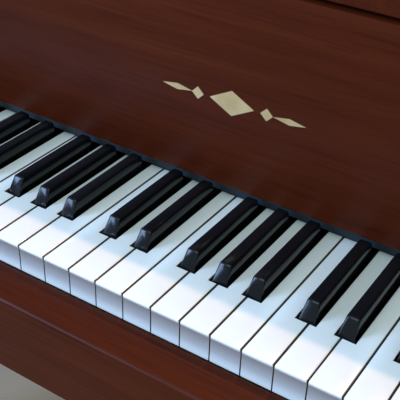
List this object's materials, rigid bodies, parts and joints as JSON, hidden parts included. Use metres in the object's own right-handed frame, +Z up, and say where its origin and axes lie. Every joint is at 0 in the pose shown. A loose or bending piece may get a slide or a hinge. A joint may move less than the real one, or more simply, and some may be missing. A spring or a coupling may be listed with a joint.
{
  "type": "baby grand piano",
  "caption": "Full-size baby grand piano in satin mahogany, with a folding lid, fallboard, sprung keys, action, damper and shift pedals, and casters.",
  "frame": {"origin": "centre of the footprint, on the floor below the casters", "axes": "+X to the treble side, +Y from the player to the tail, +Z up"},
  "size_m": [1.5, 1.5378, 0.963],
  "materials": {
    "case_mahogany": "satin lacquer",
    "inner_timber": "planed",
    "spruce": "thin varnish",
    "gilt": "gilt",
    "cast_plate": "bronze lacquer",
    "steel_wire": "polished wire",
    "copper_wire": "copper winding",
    "felt": "dense felt",
    "brass": "polished",
    "sharp_black": "gloss",
    "key_white": "gloss"
  },
  "bodies": {
    "case": {"braces": "inner_timber", "bridges": "inner_timber", "cover_pivots": "brass", "desk_shelf": "inner_timber", "front_legs": "case_mahogany", "inner_rim": "inner_timber", "iron_plate": "cast_plate", "key_blocks": "case_mahogany", "key_slip": "case_mahogany", "keybed": "inner_timber", "lid_hinges_case": "brass", "lyre": "case_mahogany", "lyre_braces": "brass", "name_rail": "felt", "pin_block": "inner_timber", "rear_leg": "case_mahogany", "rim": "case_mahogany", "soundboard": "spruce", "strings_plain": "steel_wire", "strings_wound": "copper_wire", "tuning_pins": "steel_wire"},
    "action": {"key_frame": "inner_timber", "action_frame": "inner_timber", "hammers": "felt"},
    "key_a4": {"key_a4": "key_white"},
    "key_a_sharp4": {"key_a_sharp4": "sharp_black"},
    "key_b4": {"key_b4": "key_white"},
    "key_c4": {"key_c4": "key_white"},
    "key_c_sharp4": {"key_c_sharp4": "sharp_black"},
    "key_d4": {"key_d4": "key_white"},
    "key_d_sharp4": {"key_d_sharp4": "sharp_black"},
    "key_e4": {"key_e4": "key_white"},
    "key_f4": {"key_f4": "key_white"},
    "key_f_sharp4": {"key_f_sharp4": "sharp_black"},
    "key_g4": {"key_g4": "key_white"},
    "key_g_sharp4": {"key_g_sharp4": "sharp_black"},
    "keys_black_bass": {"keys_black_bass": "sharp_black"},
    "keys_black_treble": {"keys_black_treble": "sharp_black"},
    "keys_white_bass": {"keys_white_bass": "key_white"},
    "keys_white_treble": {"keys_white_treble": "key_white"},
    "fallboard": {"fallboard": "case_mahogany", "fallboard_inlay": "gilt"},
    "lid": {"lid_main": "case_mahogany", "lid_hinges_lid": "brass", "flap_hinges_main": "brass", "prop_cup": "brass"},
    "flap": {"lid_flap": "case_mahogany", "flap_hinges_flap": "brass"},
    "prop": {"lid_prop": "case_mahogany"},
    "desk": {"music_desk": "case_mahogany"},
    "dampers": {"dampers": "felt"},
    "pedal_soft": {"pedal_soft": "brass"},
    "pedal_sostenuto": {"pedal_sostenuto": "brass"},
    "pedal_damper": {"pedal_damper": "brass"},
    "caster_fork_left": {"caster_fork_left": "brass"},
    "caster_wheel_left": {"caster_wheel_left": "brass"},
    "caster_fork_right": {"caster_fork_right": "brass"},
    "caster_wheel_right": {"caster_wheel_right": "brass"},
    "caster_fork_rear": {"caster_fork_rear": "brass"},
    "caster_wheel_rear": {"caster_wheel_rear": "brass"}
  },
  "joints": [
    {"name": "pedal_soft_press", "type": "hinge", "parent": "case", "child": "pedal_soft", "pos_m": [-0.062, -0.5815, 0.082], "axis": [1, 0, 0], "range_deg": [0, 8], "stiffness_Nm_per_rad": 6, "springref_deg": -14.32},
    {"name": "pedal_sostenuto_press", "type": "hinge", "parent": "case", "child": "pedal_sostenuto", "pos_m": [0, -0.5815, 0.082], "axis": [1, 0, 0], "range_deg": [0, 8], "stiffness_Nm_per_rad": 6, "springref_deg": -14.32},
    {"name": "pedal_damper_press", "type": "hinge", "parent": "case", "child": "pedal_damper", "pos_m": [0.062, -0.5815, 0.082], "axis": [1, 0, 0], "range_deg": [0, 8], "stiffness_Nm_per_rad": 6, "springref_deg": -14.32},
    {"name": "una_corda_shift", "type": "slide", "parent": "case", "child": "action", "axis": [1, 0, 0], "range_m": [0, 0.0026]},
    {"name": "damper_lift", "type": "slide", "parent": "case", "child": "dampers", "axis": [0, 0, 1], "range_m": [0, 0.0062]},
    {"name": "key_a4_press", "type": "hinge", "parent": "action", "child": "key_a4", "pos_m": [0, -0.494, 0.725], "axis": [1, 0, 0], "range_deg": [0, 2.4], "stiffness_Nm_per_rad": 0.5, "springref_deg": -11.46},
    {"name": "key_a_sharp4_press", "type": "hinge", "parent": "action", "child": "key_a_sharp4", "pos_m": [0, -0.494, 0.725], "axis": [1, 0, 0], "range_deg": [0, 2.4], "stiffness_Nm_per_rad": 0.5, "springref_deg": -11.46},
    {"name": "key_b4_press", "type": "hinge", "parent": "action", "child": "key_b4", "pos_m": [0, -0.494, 0.725], "axis": [1, 0, 0], "range_deg": [0, 2.4], "stiffness_Nm_per_rad": 0.5, "springref_deg": -11.46},
    {"name": "key_c4_press", "type": "hinge", "parent": "action", "child": "key_c4", "pos_m": [0, -0.494, 0.725], "axis": [1, 0, 0], "range_deg": [0, 2.4], "stiffness_Nm_per_rad": 0.5, "springref_deg": -11.46},
    {"name": "key_c_sharp4_press", "type": "hinge", "parent": "action", "child": "key_c_sharp4", "pos_m": [0, -0.494, 0.725], "axis": [1, 0, 0], "range_deg": [0, 2.4], "stiffness_Nm_per_rad": 0.5, "springref_deg": -11.46},
    {"name": "key_d4_press", "type": "hinge", "parent": "action", "child": "key_d4", "pos_m": [0, -0.494, 0.725], "axis": [1, 0, 0], "range_deg": [0, 2.4], "stiffness_Nm_per_rad": 0.5, "springref_deg": -11.46},
    {"name": "key_d_sharp4_press", "type": "hinge", "parent": "action", "child": "key_d_sharp4", "pos_m": [0, -0.494, 0.725], "axis": [1, 0, 0], "range_deg": [0, 2.4], "stiffness_Nm_per_rad": 0.5, "springref_deg": -11.46},
    {"name": "key_e4_press", "type": "hinge", "parent": "action", "child": "key_e4", "pos_m": [0, -0.494, 0.725], "axis": [1, 0, 0], "range_deg": [0, 2.4], "stiffness_Nm_per_rad": 0.5, "springref_deg": -11.46},
    {"name": "key_f4_press", "type": "hinge", "parent": "action", "child": "key_f4", "pos_m": [0, -0.494, 0.725], "axis": [1, 0, 0], "range_deg": [0, 2.4], "stiffness_Nm_per_rad": 0.5, "springref_deg": -11.46},
    {"name": "key_f_sharp4_press", "type": "hinge", "parent": "action", "child": "key_f_sharp4", "pos_m": [0, -0.494, 0.725], "axis": [1, 0, 0], "range_deg": [0, 2.4], "stiffness_Nm_per_rad": 0.5, "springref_deg": -11.46},
    {"name": "key_g4_press", "type": "hinge", "parent": "action", "child": "key_g4", "pos_m": [0, -0.494, 0.725], "axis": [1, 0, 0], "range_deg": [0, 2.4], "stiffness_Nm_per_rad": 0.5, "springref_deg": -11.46},
    {"name": "key_g_sharp4_press", "type": "hinge", "parent": "action", "child": "key_g_sharp4", "pos_m": [0, -0.494, 0.725], "axis": [1, 0, 0], "range_deg": [0, 2.4], "stiffness_Nm_per_rad": 0.5, "springref_deg": -11.46},
    {"name": "keys_black_bass_press", "type": "hinge", "parent": "action", "child": "keys_black_bass", "pos_m": [0, -0.494, 0.725], "axis": [1, 0, 0], "range_deg": [0, 2.4], "stiffness_Nm_per_rad": 8, "springref_deg": -11.46},
    {"name": "keys_black_treble_press", "type": "hinge", "parent": "action", "child": "keys_black_treble", "pos_m": [0, -0.494, 0.725], "axis": [1, 0, 0], "range_deg": [0, 2.4], "stiffness_Nm_per_rad": 7.5, "springref_deg": -11.46},
    {"name": "keys_white_bass_press", "type": "hinge", "parent": "action", "child": "keys_white_bass", "pos_m": [0, -0.494, 0.725], "axis": [1, 0, 0], "range_deg": [0, 2.4], "stiffness_Nm_per_rad": 11.5, "springref_deg": -11.46},
    {"name": "keys_white_treble_press", "type": "hinge", "parent": "action", "child": "keys_white_treble", "pos_m": [0, -0.494, 0.725], "axis": [1, 0, 0], "range_deg": [0, 2.4], "stiffness_Nm_per_rad": 11, "springref_deg": -11.46},
    {"name": "fallboard_hinge", "type": "hinge", "parent": "case", "child": "fallboard", "pos_m": [0, -0.585, 0.786], "axis": [1, 0, 0], "range_deg": [0, 94]},
    {"name": "lid_hinge", "type": "hinge", "parent": "case", "child": "lid", "pos_m": [-0.745, 0, 0.9335], "axis": [0, -1, 0], "range_deg": [0, 26]},
    {"name": "flap_hinge", "type": "hinge", "parent": "lid", "child": "flap", "pos_m": [0, -0.2995, 0.96], "axis": [-1, 0, 0], "range_deg": [0, 178]},
    {"name": "prop_hinge", "type": "hinge", "parent": "case", "child": "prop", "pos_m": [0.42, 0.06, 0.912], "axis": [-0.7346, -0.2836, -0.6164], "range_deg": [0, 66.5]},
    {"name": "desk_hinge", "type": "hinge", "parent": "case", "child": "desk", "pos_m": [0, -0.544, 0.9], "axis": [1, 0, 0], "range_deg": [0, 70.5]},
    {"name": "caster_swivel_left", "type": "hinge", "parent": "case", "child": "caster_fork_left", "pos_m": [-0.59, -0.56, 0.064], "axis": [0, 0, 1], "continuous": true},
    {"name": "caster_roll_left", "type": "hinge", "parent": "caster_fork_left", "child": "caster_wheel_left", "pos_m": [-0.59, -0.544, 0.03], "axis": [1, 0, 0], "continuous": true},
    {"name": "caster_swivel_right", "type": "hinge", "parent": "case", "child": "caster_fork_right", "pos_m": [0.59, -0.56, 0.064], "axis": [0, 0, 1], "continuous": true},
    {"name": "caster_roll_right", "type": "hinge", "parent": "caster_fork_right", "child": "caster_wheel_right", "pos_m": [0.59, -0.544, 0.03], "axis": [1, 0, 0], "continuous": true},
    {"name": "caster_swivel_rear", "type": "hinge", "parent": "case", "child": "caster_fork_rear", "pos_m": [-0.3, 0.44, 0.064], "axis": [0, 0, 1], "continuous": true},
    {"name": "caster_roll_rear", "type": "hinge", "parent": "caster_fork_rear", "child": "caster_wheel_rear", "pos_m": [-0.3, 0.456, 0.03], "axis": [1, 0, 0], "continuous": true}
  ],
  "couplings": [
    {"joint": "una_corda_shift", "follows": "pedal_soft_press", "m_per_rad": 0.017905},
    {"joint": "damper_lift", "follows": "pedal_damper_press", "m_per_rad": 0.042972},
    {"joint": "prop_hinge", "follows": "lid_hinge", "ratio": 2.5385},
    {"joint": "desk_hinge", "follows": "flap_hinge", "ratio": 0.39326}
  ]
}
